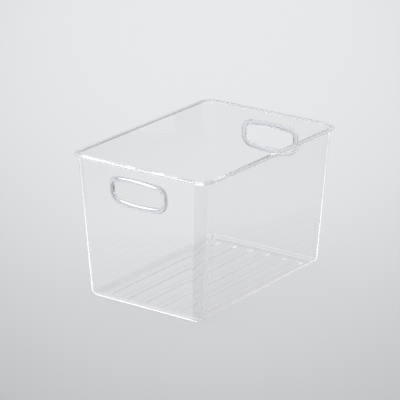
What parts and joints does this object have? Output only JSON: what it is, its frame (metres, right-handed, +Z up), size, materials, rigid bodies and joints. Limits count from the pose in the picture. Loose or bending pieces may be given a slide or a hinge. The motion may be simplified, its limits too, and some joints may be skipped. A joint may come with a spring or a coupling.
{
  "type": "fridge storage bin",
  "caption": "Clear open-topped fridge storage bin with a sloping rim lip, tapered walls, low floor bars, corner stacking ribs and a soft grip ring in the hand hole at each end.",
  "frame": {"origin": "middle of the underside, on the surface that the bin stands on", "axes": "+Z up, Y along the bin with the front end at -Y and the rear end at +Y, X across it"},
  "size_m": [0.1746, 0.2446, 0.155],
  "materials": {
    "clear_moulding": "polished, water clear",
    "soft_grip": "smooth translucent elastomer"
  },
  "bodies": {
    "root": {"clear_tub": "clear_moulding", "front_grip_ring": "soft_grip", "rear_grip_ring": "soft_grip"}
  },
  "joints": []
}
